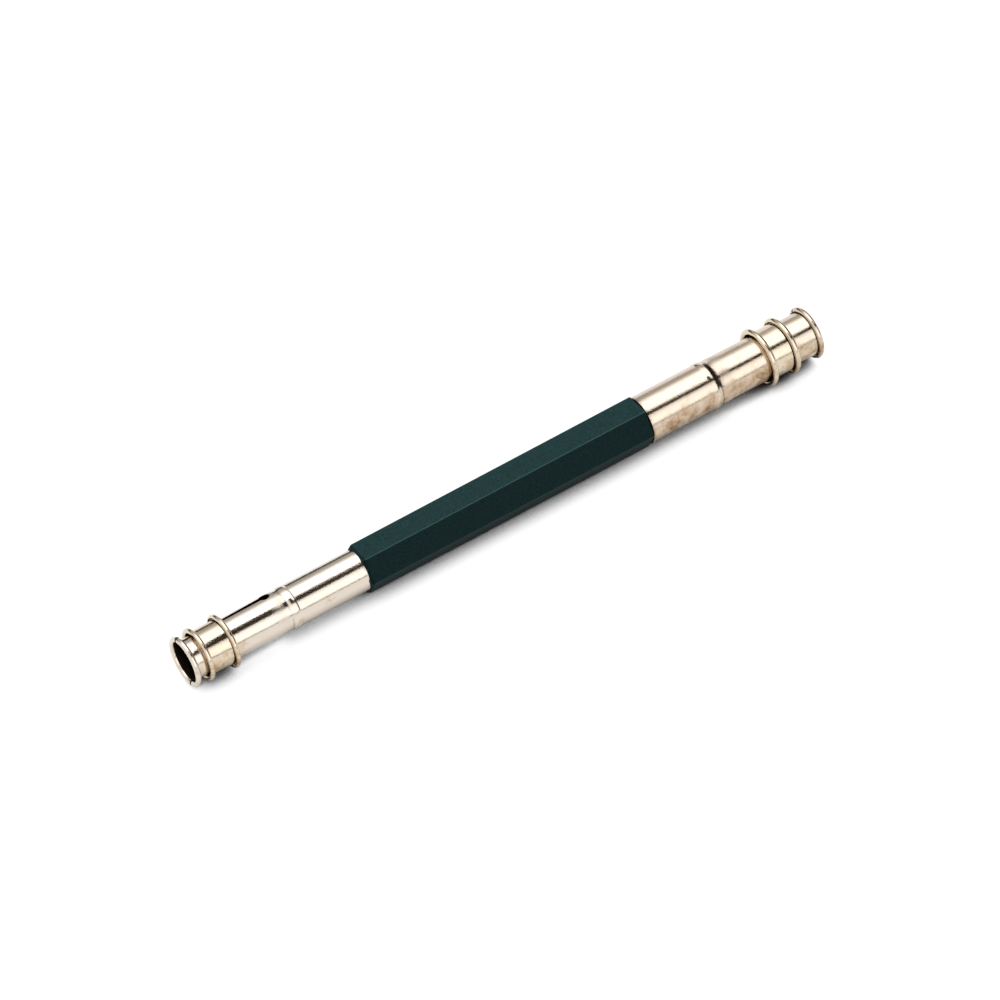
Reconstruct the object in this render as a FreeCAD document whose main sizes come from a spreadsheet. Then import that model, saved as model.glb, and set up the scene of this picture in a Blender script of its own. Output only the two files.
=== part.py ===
import FreeCAD, Part
import math
import os
import re
import Sketcher

# Double-ended pencil extender: a hexagonal wooden grip with a turned tenon at each end, a
# split sheet-metal ferrule pushed on each tenon, and a rolled collar that slides along each
# ferrule and squeezes its two fingers on a pencil stub. One end takes thin pencils, the
# other end thick ones.
#
# Frame, in millimetres: X runs along the grip from the small ferrule (-X) to the large one
# (+X), Z is up and square to a flat of the grip, and the origin is the middle of the whole
# length, on the axis.

DIMENSIONS = (
    # name, size, what it measures
    ("grip_length", 65.4, "grip, shoulder to shoulder"),
    ("grip_flats_small", 9.06, "across the grip's flats at the small end"),
    ("grip_flats_large", 9.31, "across the grip's flats at the large end"),
    ("grip_edge_round", 0.25, "radius of the grip's six long edges"),
    ("bevel_length", 0.58, "bevel round the small shoulder, along the grip"),
    ("bevel_depth", 0.3, "bevel round the small shoulder, off each flat"),
    ("corner_round", 0.75, "turned rounding of the corners at the large shoulder"),
    ("tenon_length", 10.0, "turned tenon inside each ferrule"),
    ("tenon_chamfer", 0.5, "lead-in at the tip of a tenon"),
    ("tenon_clearance", 0.02, "glue film between tenon and ferrule"),
    ("large_seat_gap", 0.15, "open line between the large shoulder and its ferrule"),
    ("ferrule_sheet", 0.3, "sheet thickness of both ferrules"),
    ("seat_length", 6.8, "straight seat for the pencil, between the fingers' tips"),
    ("neck_length", 1.2, "flare from the pencil seat to the middle of the rim"),
    ("rim_curl", 0.55, "outside radius of the curled rim's section"),
    ("groove_depth", 0.16, "rolled stop groove, below the tube"),
    ("groove_slope", 1.5, "rolled stop groove, from its bottom to the root of the fingers"),
    ("groove_rise", 0.4, "rolled stop groove, from its bottom to the foot of the ridge"),
    ("ridge_width", 1.5, "swelled ridge on the grip side of the stop groove"),
    ("ridge_height", 0.13, "swelled ridge, above the tube"),
    ("hole_to_groove", 2.7, "middle of the relief hole to the bottom of the groove"),
    ("hole_diameter", 2.2, "relief hole at the root of each slit"),
    ("slit_root", 1.15, "slit width at the relief hole"),
    ("slit_mouth", 0.5, "slit width through the rim"),
    ("collar_sheet", 0.22, "sheet thickness of both collars"),
    ("collar_clearance", 0.08, "collar bore to finger, each side"),
    ("collar_flare", 0.8, "flare of a collar, from its bore to the middle of a bead"),
    ("small_tube", 8.6, "small ferrule, outside diameter over the tenon"),
    ("small_finger", 8.6, "small ferrule, outside diameter at the root of the fingers"),
    ("small_seat", 8.2, "small ferrule, outside diameter over the pencil seat"),
    ("small_rim", 10.5, "small ferrule, outside diameter of the rim"),
    ("small_ferrule_length", 38.9, "small ferrule, shoulder to the middle of the rim"),
    ("small_groove_to_rim", 21.8, "small ferrule, stop groove to the middle of the rim"),
    ("small_slit_angle", 111.7, "small slits, degrees up from the -Y side"),
    ("small_collar_to_rim", 2.96, "small collar's outer bead to the middle of the rim"),
    ("small_collar_pitch", 5.67, "small collar, between the middles of its beads"),
    ("small_collar_curl", 0.5, "small collar, outside radius of a bead's section"),
    ("small_outer_bead", 11.05, "small collar, outside diameter of the bead by the rim"),
    ("small_inner_bead", 11.25, "small collar, outside diameter of the bead by the grip"),
    ("large_tube", 9.8, "large ferrule, outside diameter over the tenon"),
    ("large_finger", 9.6, "large ferrule, outside diameter at the root of the fingers"),
    ("large_seat", 9.3, "large ferrule, outside diameter over the pencil seat"),
    ("large_rim", 11.0, "large ferrule, outside diameter of the rim"),
    ("large_ferrule_length", 39.9, "large ferrule, its end to the middle of the rim"),
    ("large_groove_to_rim", 23.35, "large ferrule, stop groove to the middle of the rim"),
    ("large_slit_angle", 139.7, "large slits, degrees up from the -Y side"),
    ("large_collar_to_rim", 5.95, "large collar's outer bead to the middle of the rim"),
    ("large_collar_pitch", 5.48, "large collar, between the middles of its beads"),
    ("large_collar_curl", 0.57, "large collar, outside radius of a bead's section"),
    ("large_outer_bead", 12.05, "large collar, outside diameter of the bead by the rim"),
    ("large_inner_bead", 12.4, "large collar, outside diameter of the bead by the grip"),
)

X_AXIS = FreeCAD.Vector(1, 0, 0)
Z_AXIS = FreeCAD.Vector(0, 0, 1)
SIXTH = 60  # degrees a hexagon turns through at each side
COUNTER_CLOCKWISE = "counter-clockwise"
CLOCKWISE = "clockwise"
OTHER_WAY = {COUNTER_CLOCKWISE: CLOCKWISE, CLOCKWISE: COUNTER_CLOCKWISE}

doc = FreeCAD.newDocument("PencilExtender")


def fill_sheet():
    """The spreadsheet of driving dimensions: name, size and meaning in each row."""
    sheet = doc.addObject("Spreadsheet::Sheet", "Sizes")
    for row, (name, size, meaning) in enumerate(DIMENSIONS, start=1):
        sheet.set(f"A{row}", name)
        sheet.set(f"B{row}", str(size))
        sheet.set(f"C{row}", meaning)
        sheet.setAlias(f"B{row}", name)
    doc.recompute()
    return sheet


def bound(formula):
    """A formula of dimension names, as an expression that reads the spreadsheet."""
    return re.sub(r"\b([a-z_]+)\b(?!\()", r"Sizes.\1", formula)


def worth(formula):
    """The present value of a formula of dimension names."""
    return float(sheet.evalExpression(bound(formula)))


# Sketching


def new_sketch(body, name, plane, offset=None):
    """An empty sketch on a plane of the body's own origin, moved along its normal."""
    sketch = body.newObject("Sketcher::SketchObject", name)
    origin_plane = next(o for o in body.Origin.OriginFeatures if o.Role == plane)
    sketch.AttachmentSupport = [(origin_plane, "")]
    sketch.MapMode = "FlatFace"
    if offset:
        sketch.setExpression("AttachmentOffset.Base.z", bound(offset))
    return sketch


def dimension(sketch, kind, *where_and_formula):
    """A driving constraint whose value follows a formula of dimension names."""
    *where, formula = where_and_formula
    number = sketch.addConstraint(Sketcher.Constraint(kind, *where, worth(formula)))
    sketch.setExpression(f"Constraints[{number}]", bound(formula))


def pin(sketch, edge, end, across, up):
    """Fixes a point of an edge by its distances from the sketch origin."""
    # The sketcher numbers its own axes from -1 down, and the origin starts the level one.
    level, upright = -1, -2
    for kind, axis, formula in (("DistanceX", upright, across), ("DistanceY", level, up)):
        if formula == "0":
            sketch.addConstraint(Sketcher.Constraint("PointOnObject", edge, end, axis))
        else:
            dimension(sketch, kind, level, 1, edge, end, formula)


def arc_between(start, finish, radius, turn):
    """The shorter arc from start to finish that turns the given way."""
    chord = finish - start
    chord_to_centre = math.sqrt(radius**2 - (chord.Length / 2) ** 2)
    leftward = FreeCAD.Vector(-chord.y, chord.x, 0).normalize()
    side = 1 if turn == COUNTER_CLOCKWISE else -1
    centre = (start + finish) / 2 + leftward * (side * chord_to_centre)
    first, last = (start, finish) if turn == COUNTER_CLOCKWISE else (finish, start)
    angles = [math.atan2(p.y - centre.y, p.x - centre.x) for p in (first, last)]
    if angles[1] < angles[0]:
        angles[1] += 2 * math.pi
    return Part.ArcOfCircle(Part.Circle(centre, Z_AXIS, radius), *angles)


def draw_outline(sketch, corners):
    """A closed outline through the corners, each pinned by its own formulas.

    A corner is (across, up) where a straight run ends and (across, up, radius, turn) where
    an arc ends.
    """
    points = [FreeCAD.Vector(worth(c[0]), worth(c[1]), 0) for c in corners]
    edges = []
    for number, corner in enumerate(corners):
        start, finish = points[number - 1], points[number]
        if len(corner) == 2:
            edge = sketch.addGeometry(Part.LineSegment(start, finish))
            edges.append((edge, 1, 2))
            continue
        radius, turn = corner[2:]
        edge = sketch.addGeometry(arc_between(start, finish, worth(radius), turn))
        dimension(sketch, "Radius", edge, radius)
        edges.append((edge, 1, 2) if turn == COUNTER_CLOCKWISE else (edge, 2, 1))
    for number, (across, up, *_) in enumerate(corners):
        edge, _, end = edges[number]
        following, start, _ = edges[(number + 1) % len(edges)]
        sketch.addConstraint(Sketcher.Constraint("Coincident", edge, end, following, start))
        pin(sketch, edge, end, across, up)


def spin(body, name, corners):
    """A solid of revolution about the body's X axis."""
    sketch = new_sketch(body, name + "Profile", "XZ_Plane")
    draw_outline(sketch, corners)
    turned = body.newObject("PartDesign::Revolution", name)
    turned.Profile = sketch
    turned.ReferenceAxis = (sketch, ["H_Axis"])
    turned.Angle = 360
    doc.recompute()


def draw_circle(sketch, across, radius):
    """A circle on the sketch's horizontal axis."""
    centre = FreeCAD.Vector(worth(across), 0, 0)
    edge = sketch.addGeometry(Part.Circle(centre, Z_AXIS, worth(radius)))
    pin(sketch, edge, 3, across, "0")
    dimension(sketch, "Radius", edge, radius)


def new_body(label, along, half_turn=False, roll="0"):
    """A body placed at a distance along X, turned end for end and rolled about X."""
    body = doc.addObject("PartDesign::Body", "Body_" + label)
    body.Label = label
    turned = FreeCAD.Rotation(Z_AXIS, 180 if half_turn else 0)
    rolled = FreeCAD.Rotation(X_AXIS, worth(roll))
    body.Placement = FreeCAD.Placement(FreeCAD.Vector(), turned.multiply(rolled))
    body.setExpression("Placement.Base.x", bound(along))
    return body


# Pieces

SMALL_SPAN = "(rim_curl + small_ferrule_length)"
LARGE_SPAN = "(large_seat_gap + large_ferrule_length + rim_curl)"
SMALL_SHOULDER = f"({SMALL_SPAN} - ({SMALL_SPAN} + grip_length + {LARGE_SPAN}) / 2)"
LARGE_SHOULDER = f"({SMALL_SHOULDER} + grip_length)"


def rounded_hexagon(half_flats, corner_round):
    """Corners of a hexagon with a flat up, its sharp corners rounded."""
    corners = []
    half_side = f"(({half_flats} - {corner_round}) * tan({SIXTH / 2}))"
    for flat in range(6):
        facing = SIXTH / 2 + SIXTH * flat
        across = f"{half_flats} * cos({facing})"
        up = f"{half_flats} * sin({facing})"
        start = (f"{across} + {half_side} * sin({facing})", f"{up} - {half_side} * cos({facing})")
        finish = (f"{across} - {half_side} * sin({facing})", f"{up} + {half_side} * cos({facing})")
        corners += [start + (corner_round, COUNTER_CLOCKWISE), finish]
    return corners


def make_grip():
    """The hexagonal grip: a slightly tapered hexagon with a tenon turned at each end.

    The small shoulder has a bevel along each flat, the large one has its corners rounded.
    """
    body = new_body("hexagonal_grip", SMALL_SHOULDER)

    sections = []
    stations = (
        (None, "(grip_flats_small / 2 - bevel_depth)"),
        ("bevel_length", "(grip_flats_small / 2)"),
        ("grip_length", "(grip_flats_large / 2)"),
    )
    for number, (station, half_flats) in enumerate(stations):
        sketch = new_sketch(body, f"Hexagon{number}", "YZ_Plane", station)
        draw_outline(sketch, rounded_hexagon(half_flats, "grip_edge_round"))
        sections.append(sketch)
    hexagon = body.newObject("PartDesign::AdditiveLoft", "Hexagon")
    hexagon.Profile = sections[0]
    hexagon.Sections = sections[1:]
    hexagon.Ruled = True
    doc.recompute()

    # A ring is turned off the corners: its section is the corner outside a quarter round.
    corner_radius = f"(grip_flats_large / 2 / cos({SIXTH / 2}))"
    ring = new_sketch(body, "CornerRing", "XZ_Plane")
    draw_outline(
        ring,
        (
            ("grip_length - corner_round", corner_radius),
            ("grip_length", f"{corner_radius} - corner_round", "corner_round", CLOCKWISE),
            ("grip_length", f"{corner_radius} + corner_round"),
            ("grip_length - corner_round", f"{corner_radius} + corner_round"),
        ),
    )
    turned = body.newObject("PartDesign::Groove", "RoundedCorners")
    turned.Profile = ring
    turned.ReferenceAxis = (ring, ["H_Axis"])
    turned.Angle = 360
    doc.recompute()

    for end, station, reverse in (("small", None, True), ("large", "grip_length", False)):
        circle = new_sketch(body, f"Tenon_{end}", "YZ_Plane", station)
        draw_circle(circle, "0", tenon_radius(end))
        tenon = body.newObject("PartDesign::Pad", f"TenonPad_{end}")
        tenon.Profile = circle
        tenon.Reversed = reverse
        length = "tenon_length" if end == "small" else "tenon_length + large_seat_gap"
        tenon.setExpression("Length", bound(length))
        doc.recompute()
        tip = -worth(length) if reverse else worth(f"grip_length + {length}")
        lead_in = body.newObject("PartDesign::Chamfer", f"TenonTip_{end}")
        lead_in.Base = (tenon, edges_where(tenon, lambda edge: lies_at(edge, tip)))
        lead_in.setExpression("Size", bound("tenon_chamfer"))
        doc.recompute()


def tenon_radius(end):
    return f"({end}_tube / 2 - ferrule_sheet - tenon_clearance)"


def edges_where(feature, wanted):
    """The names of a feature's edges that pass a test."""
    return [f"Edge{n}" for n, edge in enumerate(feature.Shape.Edges, start=1) if wanted(edge)]


def lies_at(edge, station):
    """Whether the whole edge lies in the cross-section at a station."""
    box = edge.BoundBox
    return abs(box.XMin - station) < 1e-4 and abs(box.XMax - station) < 1e-4


def curl(middle, centre, radius, sheet, side):
    """Corners round a sheet edge that is rolled outward by three quarters of a turn.

    middle and centre place the roll along and off the axis. side is "+" for a roll at the
    +X end of a sheet and "-" for one at its -X end. The outline goes clockwise round the
    sheet, so at the +X end it follows the hollow of the roll first, then the cut edge,
    which faces back, and then the outer face.
    """
    back = "-" if side == "+" else "+"
    turn = COUNTER_CLOCKWISE if side == "+" else CLOCKWISE
    home = OTHER_WAY[turn]
    hollow = f"({radius} - {sheet})"
    first, second = (hollow, radius) if side == "+" else (radius, hollow)
    return [
        (middle, f"{centre} - {first}"),
        (f"{middle} {side} {first}", centre, first, turn),
        (middle, f"{centre} + {first}", first, turn),
        (f"{middle} {back} {first}", centre, first, turn),
        (f"{middle} {back} {second}", centre),
        (middle, f"{centre} + {second}", second, home),
        (f"{middle} {side} {second}", centre, second, home),
        (middle, f"{centre} - {second}", second, home),
    ]


def backward(corners):
    """The same run of corners, followed the other way."""
    turned = [corners[-1][:2]]
    for earlier, corner in zip(corners[-2::-1], corners[:0:-1]):
        bend = (corner[2], OTHER_WAY[corner[3]]) if len(corner) > 2 else ()
        turned.append(earlier[:2] + bend)
    return turned


def ferrule_wall(end, inward):
    """Corners of one face of a ferrule's wall, from its fixed end to the end of its seat.

    inward is how far this face lies inside the outer one.
    """
    length = f"{end}_ferrule_length"
    groove = f"({length} - {end}_groove_to_rim)"
    foot = f"{groove} - groove_rise"
    tube = f"({end}_tube / 2 - {inward})"
    finger = f"({end}_finger / 2 - {inward})"
    seat = f"({end}_seat / 2 - {inward})"
    # The ridge is an arc, and its radius follows from its width and height.
    ridge_radius = "((ridge_width / 2) ^ 2 + ridge_height ^ 2) / (2 * ridge_height)"
    return [
        ("0", tube),
        (f"{foot} - ridge_width", tube),
        (foot, tube, ridge_radius, CLOCKWISE),
        (groove, f"{tube} - groove_depth"),
        (f"{groove} + groove_slope", finger),
        (f"{groove} + hole_to_groove", finger),
        (f"{length} - neck_length - seat_length", seat),
        (f"{length} - neck_length", seat),
    ]


def cut_through(body, name, sketch):
    """A pocket through both walls of a tube, from a sketch on the plane of its axis."""
    before = body.Tip.Shape.Volume
    pocket = body.newObject("PartDesign::Pocket", name)
    pocket.Profile = sketch
    pocket.Type = "ThroughAll"
    pocket.Midplane = True
    doc.recompute()
    if pocket.Shape.Volume >= before:
        raise RuntimeError(f"{name} of {body.Label} cuts nothing")


def make_ferrule(end, along, half_turn, roll):
    """A split ferrule, drawn from its fixed end outward along its own +X.

    The tube has a rolled stop groove with a swelled ridge beside it. Beyond them two slits,
    each with a round relief hole at its root, part the tube into two fingers, which
    close in to a straight pencil seat and end in a rim curled outward.
    """
    body = new_body(f"{end}_ferrule", along, half_turn, roll)
    rim_middle = f"{end}_ferrule_length"
    rim_centre = f"({end}_rim / 2 - rim_curl)"
    outer = ferrule_wall(end, "0")
    inner = ferrule_wall(end, "ferrule_sheet")
    rim = curl(rim_middle, rim_centre, "rim_curl", "ferrule_sheet", "+")
    spin(body, "Tube", outer + rim + backward(inner))

    # The slits lie at the tube's own +Z and -Z, and taper where the fingers close in.
    hole = f"({rim_middle} - {end}_groove_to_rim + hole_to_groove)"
    past_rim = f"({rim_middle} + 2 * rim_curl)"
    slit = new_sketch(body, "SlitOutline", "XY_Plane")
    draw_outline(
        slit,
        (
            (hole, "slit_root / 2"),
            (past_rim, "slit_mouth / 2"),
            (past_rim, "-slit_mouth / 2"),
            (hole, "-slit_root / 2"),
        ),
    )
    cut_through(body, "Slits", slit)
    relief = new_sketch(body, "ReliefOutline", "XY_Plane")
    draw_circle(relief, hole, "hole_diameter / 2")
    cut_through(body, "ReliefHoles", relief)


def collar_bore(end):
    return f"({end}_finger / 2 + collar_clearance)"


def make_collar(end, along, half_turn):
    """A sliding collar: a short tube whose two edges are flared and rolled into beads.

    Its own X starts at the middle of the bead by the grip and points to the rim.
    """
    body = new_body(f"{end}_collar", along, half_turn)
    pitch = f"{end}_collar_pitch"
    radius = f"{end}_collar_curl"
    bore = collar_bore(end)
    outside = f"{bore} + collar_sheet"
    far_flare = f"{pitch} - collar_flare"
    near_bead = curl("0", f"({end}_inner_bead / 2 - {radius})", radius, "collar_sheet", "-")
    far_bead = curl(pitch, f"({end}_outer_bead / 2 - {radius})", radius, "collar_sheet", "+")
    spin(
        body,
        "Tube",
        [("collar_flare", outside), (far_flare, outside)]
        + far_bead
        + [(far_flare, bore), ("collar_flare", bore)]
        + near_bead,
    )


def check_and_write():
    """Stops on any failed object, then writes each piece to its own file."""
    doc.recompute()
    for item in doc.Objects:
        if {"Invalid", "Error"} & set(item.State):
            raise RuntimeError(f"{item.Name} failed: {item.State}")
    os.makedirs("parts", exist_ok=True)
    for body in doc.findObjects("PartDesign::Body"):
        shape = body.Shape
        if shape.isNull() or not shape.isValid() or len(shape.Solids) != 1:
            raise RuntimeError(f"{body.Label} isn't one valid solid")
        shape.exportStep(f"parts/{body.Label}.step")


sheet = fill_sheet()
make_grip()

# A slit angle counts up from the -Y side, and a ferrule's own slits lie at its +Z.
make_ferrule("small", SMALL_SHOULDER, True, "small_slit_angle - 90")
make_ferrule("large", f"{LARGE_SHOULDER} + large_seat_gap", False, "90 - large_slit_angle")

small_rim = f"({SMALL_SHOULDER} - small_ferrule_length)"
large_rim = f"({LARGE_SHOULDER} + large_seat_gap + large_ferrule_length)"
make_collar("small", f"{small_rim} + small_collar_to_rim + small_collar_pitch", True)
make_collar("large", f"{large_rim} - large_collar_to_rim - large_collar_pitch", False)
check_and_write()
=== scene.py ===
import math

import bmesh
import bpy
from mathutils import Matrix, Vector


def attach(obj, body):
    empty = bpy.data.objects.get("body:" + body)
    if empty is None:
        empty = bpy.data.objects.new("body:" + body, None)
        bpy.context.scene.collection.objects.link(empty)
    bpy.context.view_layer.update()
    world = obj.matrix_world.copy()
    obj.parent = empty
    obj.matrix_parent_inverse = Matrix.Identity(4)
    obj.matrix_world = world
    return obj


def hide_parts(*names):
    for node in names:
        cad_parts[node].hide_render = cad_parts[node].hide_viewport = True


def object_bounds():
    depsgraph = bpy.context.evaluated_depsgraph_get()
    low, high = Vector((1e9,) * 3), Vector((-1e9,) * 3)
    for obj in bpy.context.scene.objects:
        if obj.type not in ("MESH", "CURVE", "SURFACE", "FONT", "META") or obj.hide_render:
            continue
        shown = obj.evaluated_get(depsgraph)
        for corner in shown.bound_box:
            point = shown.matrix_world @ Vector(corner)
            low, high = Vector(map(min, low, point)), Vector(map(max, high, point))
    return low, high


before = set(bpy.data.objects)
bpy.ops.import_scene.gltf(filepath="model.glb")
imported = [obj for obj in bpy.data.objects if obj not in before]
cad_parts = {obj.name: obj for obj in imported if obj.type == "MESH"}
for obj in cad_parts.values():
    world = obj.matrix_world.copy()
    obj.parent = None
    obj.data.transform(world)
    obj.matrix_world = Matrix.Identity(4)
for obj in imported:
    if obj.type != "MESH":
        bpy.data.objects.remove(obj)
cad_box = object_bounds()

# The grip: one stick of hardwood, moulded to a hexagon that is a little thicker at the large
# end, with a round tenon turned at each end for the ferrules. Its corners are chamfered at
# the small shoulder and cut square at the large one. Sprayed with dark green satin lacquer.

MM = 0.001
SMALL_SHOULDER = -33.275
LARGE_SHOULDER = 32.125
SQUARE_CUT = 32.0
BEVEL_LENGTH = 0.58
CORNER_ROUND = 0.15
CORNER_STEPS = 8
LONG_EDGE_ROUND = 0.25
LATHE_STEPS = 160
# What a hexagon measures across its flats, as a share of what it does over its corners.
FLATS_TO_CORNERS = math.cos(math.radians(30))

# Half of what the stick measures across its flats: at the foot of the small shoulder's bevel,
# at its top, and at the large shoulder.
BEVEL_HALF = 4.23
SMALL_HALF = 4.53
LARGE_HALF = 4.655

# The moulded stick, before it goes on the lathe: (along, half across the flats).
MOULDED_STICK = (
    (-46.0, BEVEL_HALF),
    (SMALL_SHOULDER, BEVEL_HALF),
    (SMALL_SHOULDER + BEVEL_LENGTH, SMALL_HALF),
    (LARGE_SHOULDER, LARGE_HALF),
    (46.0, 4.68),
)

# The tenons: (tip, radius).
SMALL_TENON = (-43.275, 3.98)
LARGE_TENON = (42.275, 4.58)
TENON_CHAMFER = 0.5


def in_metres(bm, name, place=Matrix()):
    """Turns a bmesh drawn in millimetres into an object at the origin, in metres."""
    bm.transform(Matrix.Scale(MM, 4) @ place)
    mesh = bpy.data.meshes.new(name)
    bm.to_mesh(mesh)
    bm.free()
    made = bpy.data.objects.new(name, mesh)
    bpy.context.scene.collection.objects.link(made)
    return made


def draw_wire(bm, points):
    """A wire through points (along, off the axis) in the XZ plane; its vertices."""
    made = [bm.verts.new((along, 0, off)) for along, off in points]
    for near, far in zip(made, made[1:]):
        bm.edges.new((near, far))
    return made


def turn_on_lathe(bm):
    """Spins what is drawn a full turn about X."""
    bmesh.ops.spin(
        bm, geom=bm.verts[:] + bm.edges[:], cent=(0, 0, 0), axis=(1, 0, 0),
        angle=math.tau, steps=LATHE_STEPS, use_merge=True, use_duplicate=False,
    )
    bmesh.ops.remove_doubles(bm, verts=bm.verts, dist=1e-4)
    bmesh.ops.recalc_face_normals(bm, faces=bm.faces)


def machine(piece, tool, operation):
    """Cuts a piece with a tool, which is then cleared away."""
    boolean = piece.modifiers.new("machining", "BOOLEAN")
    boolean.object = tool
    boolean.operation = operation
    boolean.solver = "EXACT"
    bpy.context.view_layer.update()
    rough = piece.data
    done = piece.evaluated_get(bpy.context.evaluated_depsgraph_get())
    piece.data = bpy.data.meshes.new_from_object(done)
    piece.modifiers.clear()
    piece.data.name = piece.name
    bpy.data.meshes.remove(rough)
    bpy.data.objects.remove(tool)


def shade_smooth(piece, sharp_over):
    """Smooth shading, apart from edges that turn by more than so many degrees.

    A face counts by its area, so a long straight run stays straight up to its bends.
    """
    piece.data.shade_smooth()
    piece.data.set_sharp_from_angle(angle=math.radians(sharp_over))
    evened = piece.modifiers.new("even_shading", "WEIGHTED_NORMAL")
    evened.keep_sharp = True


bm = bmesh.new()
bmesh.ops.create_circle(
    bm, segments=6, radius=1, matrix=Matrix.Rotation(math.pi / 2, 4, "Y")
)
rim = bm.edges[:]
for station, (along, half_flats) in enumerate(MOULDED_STICK):
    if station:
        grown = bmesh.ops.extrude_edge_only(bm, edges=rim)["geom"]
        rim = [item for item in grown if isinstance(item, bmesh.types.BMEdge)]
    for corner in {corner for edge in rim for corner in edge.verts}:
        outward = Vector((0, corner.co.y, corner.co.z)).normalized()
        corner.co = outward * half_flats / FLATS_TO_CORNERS
        corner.co.x = along
bmesh.ops.holes_fill(bm, edges=bm.edges[:], sides=6)
bmesh.ops.recalc_face_normals(bm, faces=bm.faces)
long_edges = [edge for edge in bm.edges if edge.verts[0].co.x != edge.verts[1].co.x]
bmesh.ops.bevel(
    bm, geom=long_edges, offset=LONG_EDGE_ROUND * math.tan(math.radians(30)),
    offset_type="OFFSET", segments=4, profile=0.5, affect="EDGES", material=-1,
)
grip = in_metres(bm, "hexagonal_grip_lacquered")

# What the lathe leaves: both tenons and square shoulders. The large one stops just short of
# the ferrule, so the tenon shows between them, painted near black there as painted shade in the
# gap.
bm = bmesh.new()
small_tip, small_radius = SMALL_TENON
large_tip, large_radius = LARGE_TENON
over_corners = LARGE_HALF / FLATS_TO_CORNERS
clear_of_stick = over_corners + 1
turned = draw_wire(
    bm,
    (
        (small_tip, 0),
        (small_tip, small_radius - TENON_CHAMFER),
        (small_tip + TENON_CHAMFER, small_radius),
        (SMALL_SHOULDER, small_radius),
        (SMALL_SHOULDER, clear_of_stick),
        (SQUARE_CUT - CORNER_ROUND, clear_of_stick),
        (SQUARE_CUT - CORNER_ROUND, over_corners),
    ),
)
corner = bmesh.ops.spin(
    bm, geom=[turned[-1]], cent=(SQUARE_CUT - CORNER_ROUND, 0, over_corners - CORNER_ROUND),
    axis=(0, 1, 0), angle=math.pi / 2, steps=CORNER_STEPS, use_duplicate=False,
)["geom_last"][0]
rest = draw_wire(
    bm,
    (
        (SQUARE_CUT, large_radius),
        (large_tip - TENON_CHAMFER, large_radius),
        (large_tip, large_radius - TENON_CHAMFER),
        (large_tip, 0),
    ),
)
bm.edges.new((corner, rest[0]))
turn_on_lathe(bm)
machine(grip, in_metres(bm, "turning"), "INTERSECT")
shade_smooth(grip, sharp_over=20)


def srgb(code):
    """The linear colour of an sRGB hex code."""
    channels = [int(code[place : place + 2], 16) / 255 for place in (1, 3, 5)]
    return [c / 12.92 if c <= 0.04045 else ((c + 0.055) / 1.055) ** 2.4 for c in channels] + [1]


def new_material(name):
    """An empty node material and its node tree."""
    made = bpy.data.materials.new(name)
    made.use_nodes = True
    made.node_tree.nodes.clear()
    return made, made.node_tree


def add(tree, kind, sockets=None, **settings):
    """Adds a node with its settings; a socket gets a value, or a link from (node, output)."""
    made = tree.nodes.new("ShaderNode" + kind)
    for name, value in settings.items():
        setattr(made, name, value)
    for name, value in (sockets or {}).items():
        if isinstance(value, tuple) and isinstance(value[0], bpy.types.Node):
            tree.links.new(value[0].outputs[value[1]], made.inputs[name])
        else:
            made.inputs[name].default_value = value
    return made


# A colour mix's sockets: its factor, its two colours, and the mixed colour it gives.
SHARE, FIRST, SECOND, MIXED = 0, 6, 7, 2

# Satin lacquer sprayed on sealed hardwood: nearly black green and soft in its gloss, with fine
# orange peel, a trace of the grain beneath and a few specks of dust. Painted light on it: a
# painted highlight along the long edges, painted shade on the small shoulder's bevel and in the
# gap at the large tenon.
lacquer, tree = new_material("satin_lacquer_on_hardwood")
place = add(tree, "TexCoord")
# Pores run along the stick, about 15 mm long and 0.6 mm wide.
pore_place = add(tree, "Mapping", {"Vector": (place, "Object"), "Scale": (66, 1600, 1600)})
pores = add(
    tree, "TexNoise", {"Vector": (pore_place, "Vector"), "Scale": 1.0, "Detail": 3.0,
                       "Roughness": 0.6},
)
# Orange peel is about 0.3 mm across on such a spray; it is drawn at 0.4 mm so that it shows.
peel = add(
    tree, "TexNoise", {"Vector": (place, "Object"), "Scale": 2500.0, "Detail": 2.0,
                       "Roughness": 0.55},
)
# The wood under the thin lacquer shows through the peel as a fine mottle.
mottle = add(
    tree, "MapRange", {"Value": (peel, "Fac"), "From Min": 0.35, "From Max": 0.65},
)
# Dust caught in the lacquer: specks of 0.2 mm, about one in each 40 square millimetres.
speck = add(tree, "TexVoronoi", {"Vector": (place, "Object"), "Scale": 480.0})
speck_edge = add(
    tree, "MapRange", {"Value": (speck, "Distance"), "From Min": 0.03, "From Max": 0.06,
                       "To Min": 1.0, "To Max": 0.0},
)
speck_lot = add(tree, "SeparateColor", {"Color": (speck, "Color")})
speck_kept = add(tree, "Math", {0: (speck_lot, "Red"), 1: 0.9}, operation="GREATER_THAN")
specks = add(
    tree, "Math", {0: (speck_edge, "Result"), 1: (speck_kept, "Value")}, operation="MULTIPLY",
)
mottled = add(
    tree, "Mix", {SHARE: (mottle, "Result"), FIRST: srgb("#162A2B"), SECOND: srgb("#264142")},
    data_type="RGBA",
)
cloudy = add(
    tree, "Mix", {SHARE: (pores, "Fac"), FIRST: (mottled, MIXED), SECOND: srgb("#203839")},
    data_type="RGBA",
)
dusted = add(
    tree, "Mix", {SHARE: (specks, "Value"), FIRST: (cloudy, MIXED), SECOND: srgb("#51605F")},
    data_type="RGBA",
)
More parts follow.
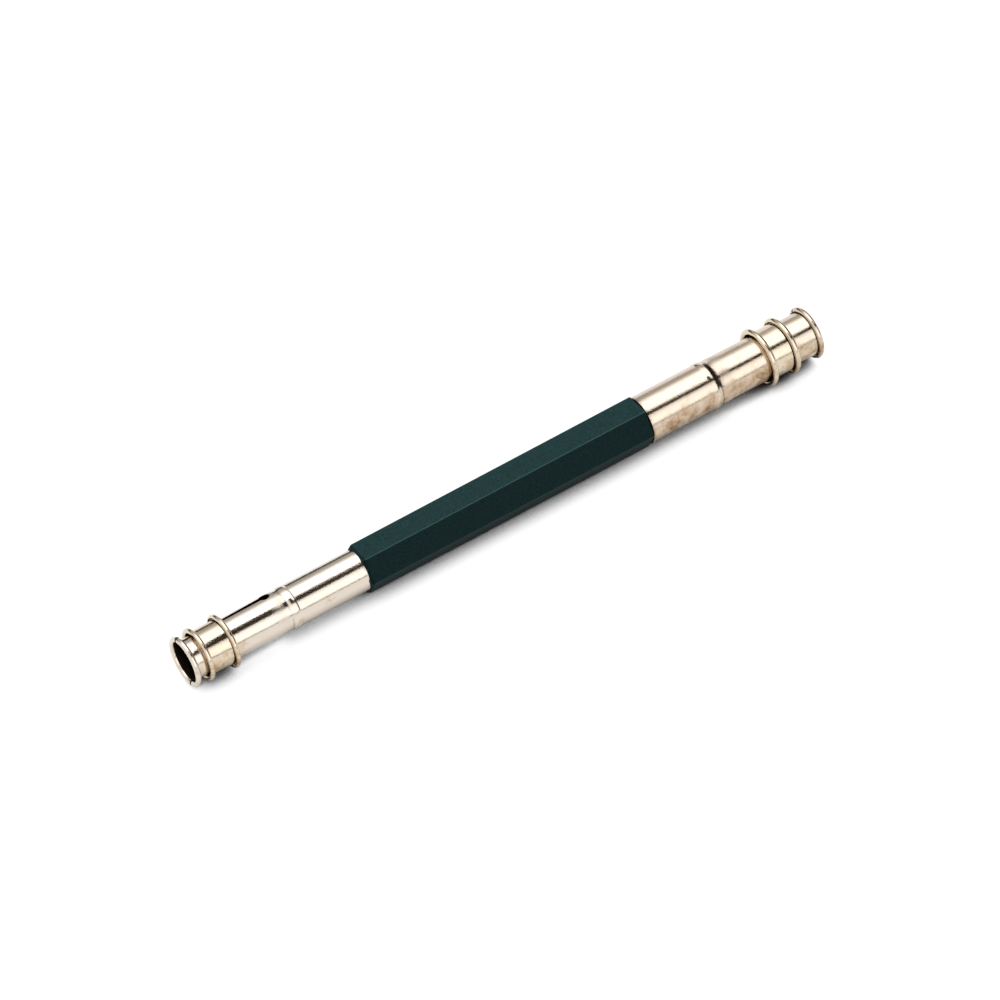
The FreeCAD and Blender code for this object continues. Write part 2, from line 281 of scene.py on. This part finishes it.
# Along the six long edges the lacquer is painted lighter over the rounding of each edge: a painted
# highlight where the edges catch the light.
spread = add(tree, "SeparateXYZ", {"Vector": (place, "Object")})
across = add(tree, "CombineXYZ", {"Y": (spread, "Y"), "Z": (spread, "Z")})
off_axis = add(tree, "VectorMath", {0: (across, "Vector")}, operation="LENGTH")
small_edge, large_edge = [
    (half_flats - LONG_EDGE_ROUND) / FLATS_TO_CORNERS + LONG_EDGE_ROUND
    for half_flats in (SMALL_HALF, LARGE_HALF)
]
edge_off_axis = add(
    tree, "MapRange", {"Value": (spread, "X"), "From Min": SMALL_SHOULDER * MM,
                       "From Max": LARGE_SHOULDER * MM, "To Min": small_edge * MM,
                       "To Max": large_edge * MM},
)
from_edge = add(
    tree, "Math", {0: (off_axis, "Value"), 1: (edge_off_axis, "Result")}, operation="SUBTRACT",
)
edge_highlight = add(
    tree, "MapRange", {"Value": (from_edge, "Value"), "From Min": -0.00005, "From Max": 0.0,
                       "To Min": 0.0, "To Max": 0.6},
)
edge_lit = add(
    tree, "Mix", {SHARE: (edge_highlight, "Result"), FIRST: (dusted, MIXED), SECOND: srgb("#4C736B")},
    data_type="RGBA",
)
# The bevel at the small shoulder turns away from the light above and is painted darker: painted
# shade.
bevel_end = SMALL_SHOULDER + BEVEL_LENGTH
bevel_shade = add(
    tree, "MapRange", {"Value": (spread, "X"), "From Min": (bevel_end - 0.08) * MM,
                       "From Max": (bevel_end + 0.04) * MM, "To Min": 0.65, "To Max": 0.0},
)
lacquered = add(
    tree, "Mix", {SHARE: (bevel_shade, "Result"), FIRST: (edge_lit, MIXED), SECOND: srgb("#0E2021")},
    data_type="RGBA",
)
# What shows of the large tenon, in the gap to the ferrule, is painted near black: painted shade.
gap_shade = add(
    tree, "MapRange", {"Value": (spread, "X"), "From Min": (SQUARE_CUT + 0.01) * MM,
                       "From Max": (SQUARE_CUT + 0.05) * MM},
)
tone = add(
    tree, "Mix", {SHARE: (gap_shade, "Result"), FIRST: (lacquered, MIXED),
                  SECOND: srgb("#080A09")}, data_type="RGBA",
)
gloss = add(tree, "MapRange", {"Value": (peel, "Fac"), "To Min": 0.34, "To Max": 0.46})
relief = add(tree, "Bump", {"Height": (peel, "Fac"), "Strength": 0.3, "Distance": 0.00006})
surface = add(
    tree, "BsdfPrincipled", {"Base Color": (tone, MIXED), "Roughness": (gloss, "Result"),
                             "Normal": (relief, "Normal"), "IOR": 1.5,
                             "Specular IOR Level": 0.03},
)
add(tree, "OutputMaterial", {"Surface": (surface, "BSDF")})
grip.data.materials.clear()
grip.data.materials.append(lacquer)
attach(grip, "extender")
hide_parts("hexagonal_grip")

# The two ferrules: drawn brass tube, 0.3 mm thick, nickel plated, pushed on the tenons. A
# rolled stop groove with a ridge beside it, two slits with drilled relief holes, fingers
# that close in to a straight pencil seat, and a rim curled outward.

JOINT_GAP = 0.15
FERRULES = {
    "small_ferrule": dict(
        shoulder=SMALL_SHOULDER, turned_round=True, length=38.9, tube=8.6, finger=8.6,
        seat=8.2, rim=10.5, groove_to_rim=21.8, slit_angle=111.7,
        plate=("bright_nickel_plate", "#E0D4C6", "#C4AA84", 0.06), crease_shade=0.4,
    ),
    "large_ferrule": dict(
        shoulder=LARGE_SHOULDER + JOINT_GAP, turned_round=False, length=39.9, tube=9.8, finger=9.6,
        seat=9.3, rim=11.0, groove_to_rim=23.35, slit_angle=139.7,
        plate=("aged_nickel_plate", "#DACAB8", "#C4AB8F", 0.3), crease_shade=1.0,
    ),
}
FERRULE_SHEET = 0.3
SEAT_LENGTH = 6.8
NECK_LENGTH = 1.2
RIM_CURL = 0.55
GROOVE_DEPTH = 0.16
GROOVE_SLOPE = 1.5
GROOVE_RISE = 0.4
RIDGE_WIDTH = 1.5
RIDGE_HEIGHT = 0.13
RIDGE_STEPS = 10
HOLE_TO_GROOVE = 2.7
HOLE_RADIUS = 1.1
DRILL_FACETS = 40
SLIT_ROOT = 1.15
SLIT_MOUTH = 0.5
TOOL_REACH = 20
ROLL_STEPS = 20
BRIGHT_LIP = 0.1


def roll_edge(bm, start, centre, side):
    """Rolls a sheet edge outward by three quarters of a turn; side is 1 or -1 along X."""
    along, off = centre
    return bmesh.ops.spin(
        bm, geom=[start], cent=(along, 0, off), axis=(0, 1, 0),
        angle=-side * math.radians(270), steps=ROLL_STEPS, use_duplicate=False,
    )


def nickel_plate(name, clean, tarnish, stained, groove_at=None, joint_at=None, crease_shade=1.0):
    """Nickel plate on drawn brass; stained is how much yellow-brown tarnish it has.

    It mirrors the studio in long bands, warm in tone and a little soft along the scratches.
    A ferrule's stop groove, at groove_at along the part, was rolled after the tube was
    polished: a duller band lies beside it, towards the rim. Its bottom is painted dark in
    patches, as much as crease_shade says: painted shade in the crease. Where the ferrule meets
    the grip, at joint_at, the plate is painted dark in patches too: painted shade by the gap.
    """
    made, tree = new_material(name)
    place = add(tree, "TexCoord")
    # The draw bench leaves scratches along the tube, finer than can show. Here they are
    # 0.25 mm wide and 4 mm long.
    drawn_place = add(tree, "Mapping", {"Vector": (place, "Object"), "Scale": (260, 4000, 4000)})
    drawn = add(
        tree, "TexNoise", {"Vector": (drawn_place, "Vector"), "Scale": 1.0, "Detail": 4.0,
                           "Roughness": 0.65},
    )
    # The grain of the polish is finer than can show too. Here it is 0.4 mm across.
    grain = add(
        tree, "TexNoise", {"Vector": (place, "Object"), "Scale": 2600.0, "Detail": 3.0,
                           "Roughness": 0.7},
    )
    # Tarnish: clouds of 2 to 4 mm, broken up by speckle of 0.3 mm, most on the lower side.
    cloud = add(
        tree, "TexNoise", {"Vector": (place, "Object"), "Scale": 330.0, "Detail": 7.0,
                           "Roughness": 0.68, "Distortion": 0.3},
    )
    spread = add(tree, "SeparateXYZ", {"Vector": (place, "Object")})
    lower = add(
        tree, "MapRange", {"Value": (spread, "Z"), "From Min": 0.0008, "From Max": 0.0028,
                           "To Min": stained, "To Max": stained * 0.2},
    )
    stain = add(
        tree, "Math", {0: (cloud, "Fac"), 1: (lower, "Result")}, operation="ADD",
    )
    patch = add(
        tree, "MapRange", {"Value": (stain, "Value"), "From Min": 0.6, "From Max": 0.82},
    )
    filmed = add(
        tree, "Mix", {SHARE: (patch, "Result"), FIRST: srgb(clean), SECOND: srgb(tarnish)},
        data_type="RGBA",
    )
    # Where the film is thickest it turns brown.
    thick = add(
        tree, "MapRange", {"Value": (stain, "Value"), "From Min": 0.79, "From Max": 0.96},
    )
    tone = add(
        tree, "Mix", {SHARE: (thick, "Result"), FIRST: (filmed, MIXED), SECOND: srgb("#8C6A47")},
        data_type="RGBA",
    )
    gloss = add(
        tree, "MapRange", {"Value": (drawn, "Fac"), "From Min": 0.3, "From Max": 0.7,
                           "To Min": 0.07 + 0.08 * stained, "To Max": 0.15 + 0.08 * stained},
    )
    dull = add(
        tree, "Math", {0: (patch, "Result"), 1: 0.12, 2: (gloss, "Result")},
        operation="MULTIPLY_ADD",
    )
    colour, roughness = (tone, MIXED), (dull, "Value")
    if groove_at is not None:
        # How far beyond the groove's bottom, towards the rim, in millimetres.
        along = add(tree, "Math", {0: (spread, "X"), 1: groove_at * MM}, operation="SUBTRACT")
        beyond = add(
            tree, "Math", {0: (along, "Value"), 1: math.copysign(1 / MM, groove_at)},
            operation="MULTIPLY",
        )
        # Painted shade: the groove's bottom is painted dark, in patches.
        crease_from = add(
            tree, "MapRange", {"Value": (beyond, "Value"), "From Min": -0.22, "From Max": 0.0,
                               "To Min": 0.0, "To Max": 1.0},
        )
        crease_to = add(
            tree, "MapRange", {"Value": (beyond, "Value"), "From Min": 0.1, "From Max": 0.36,
                               "To Min": 1.0, "To Max": 0.0},
        )
        in_groove = add(
            tree, "Math", {0: (crease_from, "Result"), 1: (crease_to, "Result")}, operation="MULTIPLY",
        )
        patchy = add(
            tree, "MapRange", {"Value": (cloud, "Fac"), "From Min": 0.4, "From Max": 0.56,
                               "To Min": 0.15 * crease_shade, "To Max": 0.9 * crease_shade},
        )
        painted_crease_shade = add(
            tree, "Math", {0: (in_groove, "Value"), 1: (patchy, "Result")},
            operation="MULTIPLY",
        )
        # Painted shade by the gap where the ferrule meets the grip, in patches.
        by_joint = add(
            tree, "MapRange", {"Value": (spread, "X"),
                               "From Min": (joint_at + math.copysign(0.1, joint_at)) * MM,
                               "From Max": (joint_at + math.copysign(0.6, joint_at)) * MM,
                               "To Min": 0.62, "To Max": 0.0},
        )
        painted_joint_shade = add(
            tree, "MapRange", {"Value": (cloud, "Fac"), "From Min": 0.42, "From Max": 0.6,
                               "To Max": (by_joint, "Result")},
        )
        painted_shade = add(
            tree, "Math", {0: (painted_crease_shade, "Value"), 1: (painted_joint_shade, "Result")},
            operation="MAXIMUM",
        )
        shaded_tone = add(
            tree, "Mix", {SHARE: (painted_shade, "Value"), FIRST: (tone, MIXED),
                          SECOND: srgb("#3A2D20")}, data_type="RGBA",
        )
        # The roller rubbed the plate dull here.
        rolled = add(
            tree, "MapRange", {"Value": (beyond, "Value"), "From Min": 0.5, "From Max": 0.9},
        )
        rolled_end = add(
            tree, "MapRange", {"Value": (beyond, "Value"), "From Min": 2.6, "From Max": 3.7,
                               "To Min": 0.14, "To Max": 0.0},
        )
        rubbed_dull = add(
            tree, "Math", {0: (rolled, "Result"), 1: (rolled_end, "Result"), 2: (dull, "Value")},
            operation="MULTIPLY_ADD",
        )
        colour, roughness = (shaded_tone, MIXED), (rubbed_dull, "Value")
    scratches = add(
        tree, "Bump", {"Height": (drawn, "Fac"), "Strength": 0.12, "Distance": 0.00002},
    )
    relief = add(
        tree, "Bump", {"Height": (grain, "Fac"), "Strength": 0.8, "Distance": 0.00002,
                       "Normal": (scratches, "Normal")},
    )
    surface = add(
        tree, "BsdfPrincipled", {"Metallic": 1.0, "Base Color": colour, "Roughness": roughness,
                                 "Normal": (relief, "Normal")},
    )
    add(tree, "OutputMaterial", {"Surface": (surface, "BSDF")})
    return made


# Bare brass inside the drawn tube and the collars, where plating hardly reaches: dull, with oxide
# in clouds of 1.5 mm, and painted nearly black as painted shade in the bores and under the beads.
dark_brass_inside, tree = new_material("oxidised_brass_painted_shade")
place = add(tree, "TexCoord")
cloud = add(tree, "TexNoise", {"Vector": (place, "Object"), "Scale": 700.0, "Detail": 5.0})
tone = add(
    tree, "Mix", {SHARE: (cloud, "Fac"), FIRST: srgb("#100C09"), SECOND: srgb("#2C2219")},
    data_type="RGBA",
)
surface = add(
    tree, "BsdfPrincipled", {"Base Color": (tone, MIXED), "Metallic": 1.0, "Roughness": 0.5},
)
add(tree, "OutputMaterial", {"Surface": (surface, "BSDF")})


def plate_outside(piece, plate, in_bore):
    """Plates a piece, apart from inward faces where in_bore(along, off the axis) is true."""
    piece.data.materials.clear()
    piece.data.materials.append(plate)
    piece.data.materials.append(dark_brass_inside)
    # Inward faces in the bore get the nearly black brass: painted shade.
    for face in piece.data.polygons:
        outward = Vector((0, face.center.y, face.center.z))
        if face.normal.dot(outward) < 0 and in_bore(face.center.x / MM, outward.length / MM):
            face.material_index = 1


for name, size in FERRULES.items():
    inside = {part: size[part] / 2 - FERRULE_SHEET for part in ("tube", "finger", "seat")}
    rim_at = size["length"]
    rim_off = size["rim"] / 2 - RIM_CURL
    groove = rim_at - size["groove_to_rim"]
    foot = groove - GROOVE_RISE
    seat_from = rim_at - NECK_LENGTH - SEAT_LENGTH
    ridge_radius = ((RIDGE_WIDTH / 2) ** 2 + RIDGE_HEIGHT**2) / (2 * RIDGE_HEIGHT)
    ridge_turn = 2 * math.asin(RIDGE_WIDTH / 2 / ridge_radius)

    bm = bmesh.new()
    tube = draw_wire(bm, ((0, inside["tube"]), (foot - RIDGE_WIDTH, inside["tube"])))
    ridge = bmesh.ops.spin(
        bm, geom=[tube[-1]], axis=(0, 1, 0), angle=ridge_turn, steps=RIDGE_STEPS,
        cent=(foot - RIDGE_WIDTH / 2, 0, inside["tube"] + RIDGE_HEIGHT - ridge_radius),
        use_duplicate=False,
    )["geom_last"][0]
    finger = draw_wire(
        bm,
        (
            (groove, inside["tube"] - GROOVE_DEPTH),
            (groove + GROOVE_SLOPE, inside["finger"]),
            (groove + HOLE_TO_GROOVE, inside["finger"]),
            (seat_from, inside["seat"]),
            (rim_at - NECK_LENGTH, inside["seat"]),
            (rim_at, rim_off - RIM_CURL),
        ),
    )
    bm.edges.new((ridge, finger[0]))
    roll_edge(bm, finger[-1], (rim_at, rim_off), 1)
    turn_on_lathe(bm)
    bmesh.ops.solidify(bm, geom=bm.faces[:], thickness=FERRULE_SHEET)
    roll = math.radians(size["slit_angle"] - 90)
    if size["turned_round"]:
        seat_on_grip = Matrix.Rotation(math.pi, 4, "Z") @ Matrix.Rotation(roll, 4, "X")
    else:
        seat_on_grip = Matrix.Rotation(-roll, 4, "X")
    seat_on_grip = Matrix.Translation((size["shoulder"], 0, 0)) @ seat_on_grip
    ferrule = in_metres(bm, name + "_plated", seat_on_grip)

    hole_at = groove + HOLE_TO_GROOVE
    bm = bmesh.new()
    slit_end = rim_at + 2 * RIM_CURL
    bmesh.ops.create_cube(
        bm, size=1, matrix=Matrix.Translation(((hole_at + slit_end) / 2, 0, 0))
        @ Matrix.Diagonal((slit_end - hole_at, SLIT_ROOT, TOOL_REACH, 1)),
    )
    for corner in bm.verts:
        if corner.co.x > rim_at:
            corner.co.y *= SLIT_MOUTH / SLIT_ROOT
    machine(ferrule, in_metres(bm, "slitting_saw", seat_on_grip), "DIFFERENCE")
    bm = bmesh.new()
    bmesh.ops.create_cone(
        bm, cap_ends=True, segments=DRILL_FACETS, radius1=HOLE_RADIUS, radius2=HOLE_RADIUS,
        depth=TOOL_REACH, matrix=Matrix.Translation((hole_at, 0, 0)),
    )
    machine(ferrule, in_metres(bm, "drill", seat_on_grip), "DIFFERENCE")
    shade_smooth(ferrule, sharp_over=35)
    groove_at = size["shoulder"] + groove * (-1 if size["turned_round"] else 1)
    plate = nickel_plate(
        *size["plate"], groove_at=groove_at, joint_at=size["shoulder"], crease_shade=size["crease_shade"]
    )
    plate_outside(
        ferrule, plate, lambda along, off: abs(along - size["shoulder"]) < rim_at - BRIGHT_LIP
    )
    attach(ferrule, "extender")
    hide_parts(name)

# The two collars: short tubes of thinner plated brass, flared and rolled outward into a bead
# at each edge. Each slides along its ferrule and squeezes the fingers on the pencil.

COLLARS = {
    "small_collar": dict(
        near_bead=-63.545, towards_rim=-1, pitch=5.67, curl=0.5, near=11.25, far=11.05,
        finger=8.6,
    ),
    "large_collar": dict(
        near_bead=60.745, towards_rim=1, pitch=5.48, curl=0.57, near=12.4, far=12.05,
        finger=9.6,
    ),
}
COLLAR_SHEET = 0.22
COLLAR_CLEARANCE = 0.08
COLLAR_FLARE = 0.8

# The same plate as on the ferrules, warmer in tone: it is thinner, and the brass tints it.
collar_nickel = nickel_plate("warm_nickel_plate", "#DECEB8", "#B59468", 0.14)

for name, size in COLLARS.items():
    bore = size["finger"] / 2 + COLLAR_CLEARANCE
    near_off = size["near"] / 2 - size["curl"]
    far_off = size["far"] / 2 - size["curl"]
    bm = bmesh.new()
    sleeve = draw_wire(
        bm,
        (
            (0, near_off - size["curl"]),
            (COLLAR_FLARE, bore),
            (size["pitch"] - COLLAR_FLARE, bore),
            (size["pitch"], far_off - size["curl"]),
        ),
    )
    roll_edge(bm, sleeve[0], (0, near_off), -1)
    roll_edge(bm, sleeve[-1], (size["pitch"], far_off), 1)
    turn_on_lathe(bm)
    bmesh.ops.solidify(bm, geom=bm.faces[:], thickness=COLLAR_SHEET)
    half_turn = math.pi if size["towards_rim"] < 0 else 0
    collar = in_metres(
        bm, name + "_plated",
        Matrix.Translation((size["near_bead"], 0, 0)) @ Matrix.Rotation(half_turn, 4, "Z"),
    )
    shade_smooth(collar, sharp_over=35)
    far_bead = size["near_bead"] + size["towards_rim"] * size["pitch"]
    start, end = sorted((size["near_bead"], far_bead))
    plate_outside(
        collar, collar_nickel,
        lambda along, off: start < along < end and off < bore + COLLAR_FLARE,
    )
    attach(collar, name)
    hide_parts(name)

# The table: a sheet of white paper that the extender lies on. It shows white to the camera
# and in the plating, and darkens only close under the extender, where little light gets in.

TABLE_HALF = 1500
SHADOW_REACH = 10

table_top = min(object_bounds()[0].z, cad_box[0].z)
bm = bmesh.new()
bmesh.ops.create_grid(bm, x_segments=2, y_segments=2, size=TABLE_HALF)
table = in_metres(bm, "table", Matrix.Translation((0, 0, table_top / MM)))
paper, tree = new_material("white_paper")
place = add(tree, "TexCoord")
# The tooth of cartridge paper, about 1 mm.
tooth = add(tree, "TexNoise", {"Vector": (place, "Object"), "Scale": 900.0, "Detail": 3.0})
relief = add(tree, "Bump", {"Height": (tooth, "Fac"), "Strength": 0.05, "Distance": 0.0001})


def ray_kinds_that_show(tree):
    """1 for what the camera sees, straight or in a mirror or glass, and 0 for other light."""
    rays = add(tree, "LightPath")
    mirrored = add(
        tree, "Math", {0: (rays, "Is Camera Ray"), 1: (rays, "Is Glossy Ray")},
        operation="MAXIMUM",
    )
    return add(
        tree, "Math", {0: (mirrored, "Value"), 1: (rays, "Is Transmission Ray")},
        operation="MAXIMUM",
    )


shown = ray_kinds_that_show(tree)
shade = add(
    tree, "Mix", {SHARE: (shown, "Value"), FIRST: srgb("#A0A0A0"), SECOND: srgb("#4A4A4A")},
    data_type="RGBA",
)
matt = add(tree, "BsdfDiffuse", {"Color": (shade, MIXED), "Normal": (relief, "Normal")})
# The camera sees a shadow where more than two fifths of the sky are hidden, and the plating
# mirrors all of it.
rays = add(tree, "LightPath")
least = add(tree, "MapRange", {"Value": (rays, "Is Glossy Ray"), "To Min": 0.42, "To Max": 0.0})
open_sky = add(tree, "AmbientOcclusion", {"Distance": SHADOW_REACH * MM}, samples=16,
               only_local=False)
hidden_sky = add(tree, "Math", {0: 1.0, 1: (open_sky, "AO")}, operation="SUBTRACT")
depth = add(
    tree, "MapRange", {"Value": (hidden_sky, "Value"), "From Min": (least, "Result"),
                       "From Max": 0.76},
)
deep = add(tree, "Math", {0: (depth, "Result"), 1: 1.6}, operation="POWER")
contact = add(tree, "Math", {0: 1.0, 1: (deep, "Value")}, operation="SUBTRACT")
lift = add(
    tree, "Math", {0: (shown, "Value"), 1: (contact, "Value")}, operation="MULTIPLY",
)
white = add(tree, "Emission", {"Color": srgb("#FFFFFF"), "Strength": (lift, "Value")})
both = add(tree, "AddShader", {0: (matt, "BSDF"), 1: (white, "Emission")})
add(tree, "OutputMaterial", {"Surface": (both, "Shader")})
table.data.materials.append(paper)

# The studio: a long soft box a metre over the table lights the part. Curved silks and grey
# velvets along both sides only show in the plating, and white lies all round them.

LIGHT_RISE = 111
LIGHT_LENGTH = 3.0
LIGHT_WIDTH = 1.15
LIGHT_LEVEL = 2.05

rise = math.radians(LIGHT_RISE)
light = bpy.data.lights.new("top_box", "AREA")
light.shape = "RECTANGLE"
light.size = LIGHT_LENGTH
light.size_y = LIGHT_WIDTH
light.energy = LIGHT_LEVEL * math.pi * light.size * light.size_y  # In watts, for its area.
box = bpy.data.objects.new("top_box", light)
box.matrix_world = Matrix.Translation((0, -math.cos(rise), math.sin(rise))) @ Matrix.Rotation(
    math.pi / 2 - rise, 4, "X"
)
box.visible_camera = False
box.visible_glossy = False
bpy.context.scene.collection.objects.link(box)

# Velvet: it returns hardly any light, and shows in the plating as a dark band.
velvet, tree = new_material("grey_velvet")
pile = add(tree, "BsdfDiffuse", {"Color": srgb("#5A554C")})
add(tree, "OutputMaterial", {"Surface": (pile, "BSDF")})


def lit_silk(name, levels):
    """Silk lit from behind; levels are (degrees up from -Y, brightness) along its curve."""
    made, tree = new_material(name)
    place = add(tree, "TexCoord")
    spread = add(tree, "SeparateXYZ", {"Vector": (place, "Object")})
    front = add(tree, "Math", {0: (spread, "Y"), 1: -1.0}, operation="MULTIPLY")
    rise = add(
        tree, "Math", {0: (spread, "Z"), 1: (front, "Value")}, operation="ARCTAN2",
    )
    turned = add(tree, "Math", {0: (rise, "Value")}, operation="DEGREES")
    glow = None
    for (start, low), (end, high) in zip(levels, levels[1:]):
        step = add(
            tree, "MapRange", {"Value": (turned, "Value"), "From Min": start, "From Max": end,
                               "To Min": 0.0, "To Max": high - low},
            interpolation_type="SMOOTHSTEP",
        )
        before = (glow, "Value") if glow else levels[0][1]
        glow = add(tree, "Math", {0: (step, "Result"), 1: before}, operation="ADD")
    cloth = add(tree, "Emission", {"Color": srgb("#FFFFFF"), "Strength": (glow, "Value")})
    add(tree, "OutputMaterial", {"Surface": (cloth, "Emission")})
    return made


front_silk = lit_silk("front_silk", ((3, 1.2), (15, 1.65), (32, 1.6), (52, 1.1)))
top_silk = lit_silk("top_silk", ((66, 1.4), (84, 2.0), (112, 2.0), (148, 0.5)))
back_silk = lit_silk("back_silk", ((152, 0.6), (160, 0.35), (170, 0.05)))

# Each cloth is bent round the X axis, 1.2 m out. Its edges are degrees up from -Y: the first
# pair at the two stations on the small ferrule's side and the second pair at the other two.
CARDS = {
    "table_edge": ((-4, 3), (-4, 3), velvet),
    "front_card": ((3, 52), (3, 52), front_silk),
    "dark_gap": ((52, 82), (52, 67), velvet),
    "top_card": ((82, 152), (67, 152), top_silk),
    "back_card": ((152, 188), (152, 162), back_silk),
}
CARD_DISTANCE = 1200
CARD_STATIONS = (-900, 320, 540, 900)
# The gap starts further in, which keeps it out of what the beads mirror.
GAP_STATIONS = (-150, 320, 540, 900)


def hang(bm, name, cloth):
    """Hangs up a cloth, drawn in millimetres, that only shows in the plating."""
    hung = in_metres(bm, name)
    hung.data.materials.append(cloth)
    hung.visible_camera = False
    hung.visible_diffuse = False
    hung.visible_shadow = False
    return hung


def out_from_axis(along, rise):
    """The point along X that is the cards' distance out, rise degrees up from -Y."""
    turned = math.radians(rise)
    return along, -CARD_DISTANCE * math.cos(turned), CARD_DISTANCE * math.sin(turned)


for name, (small_edges, large_edges, cloth) in CARDS.items():
    stations = GAP_STATIONS if name == "dark_gap" else CARD_STATIONS
    bm = bmesh.new()
    bmesh.ops.create_grid(bm, x_segments=3, y_segments=8, size=1)
    for corner in bm.verts:
        station = round((corner.co.x + 1) * 1.5)
        low, high = small_edges if station < 2 else large_edges
        share = (corner.co.y + 1) / 2
        corner.co = out_from_axis(stations[station], low + (high - low) * share)
    card = hang(bm, name, cloth)

# A dark curtain past their large end, which shows as a fine line along the rolled beads.
CURTAIN_ENDS = (900, 4500)
CURTAIN_EDGES = (-4, 188)

bm = bmesh.new()
bmesh.ops.create_grid(bm, x_segments=1, y_segments=24, size=1)
for corner in bm.verts:
    low, high = CURTAIN_EDGES
    share = (corner.co.y + 1) / 2
    corner.co = out_from_axis(CURTAIN_ENDS[corner.co.x > 0], low + (high - low) * share)
curtain = hang(bm, "curtain", velvet)

# White all round, at full strength only where it shows.

world = bpy.data.worlds.new("white_studio")
world.use_nodes = True
tree = world.node_tree
tree.nodes.clear()
shown = ray_kinds_that_show(tree)
level = add(tree, "MapRange", {"Value": (shown, "Value"), "To Min": 0.15, "To Max": 1.0})
sky = add(tree, "Background", {"Color": srgb("#FFFFFF"), "Strength": (level, "Result")})
add(tree, "OutputWorld", {"Surface": (sky, "Background")})
bpy.context.scene.world = world

# The camera stands where the photo was taken from, and leans a little to one side.
CAMERA_PLACE = (-0.397428, -0.723076, 0.794650)
TOWARDS_CAMERA = Vector((-0.34608, -0.63088, 0.69442))
CAMERA_LEAN = -7.05

camera_data = bpy.data.cameras.new("camera")
camera_data.sensor_width = 36
camera_data.lens = 214.0
camera_data.clip_start = 0.05
camera_data.clip_end = 20
camera = bpy.data.objects.new("camera", camera_data)
level_right = Vector((0, 0, 1)).cross(TOWARDS_CAMERA).normalized()
level_up = TOWARDS_CAMERA.cross(level_right)
lean = math.radians(CAMERA_LEAN)
right = level_right * math.cos(lean) + level_up * math.sin(lean)
up = level_up * math.cos(lean) - level_right * math.sin(lean)
facing = Matrix((right, up, TOWARDS_CAMERA)).transposed().to_4x4()
camera.matrix_world = Matrix.Translation(CAMERA_PLACE) @ facing
bpy.context.scene.collection.objects.link(camera)
bpy.context.scene.camera = camera
bpy.context.scene.view_settings.view_transform = "Standard"
